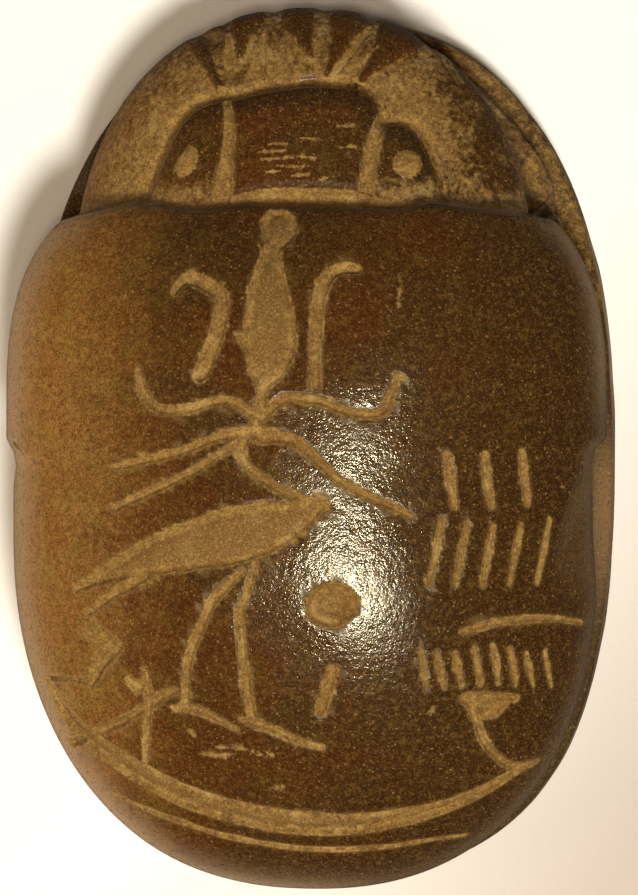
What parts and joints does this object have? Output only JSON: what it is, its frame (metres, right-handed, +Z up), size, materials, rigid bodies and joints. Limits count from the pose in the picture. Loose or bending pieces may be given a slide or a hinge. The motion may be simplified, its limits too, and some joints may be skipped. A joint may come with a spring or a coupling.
{
  "type": "scarab amulet",
  "caption": "Carved stone heart scarab with a smooth domed back, a flat oval base and a heron in a boat cut into the back.",
  "frame": {"origin": "middle of the flat underside, on the surface that the scarab lies on", "axes": "+Y towards the head, +X to the right of someone looking down at the back with the head away from them, +Z up out of the back"},
  "size_m": [0.041, 0.06, 0.022],
  "materials": {
    "stone": "polished, with matt lighter carving"
  },
  "bodies": {
    "root": {"scarab": "stone"}
  },
  "joints": []
}
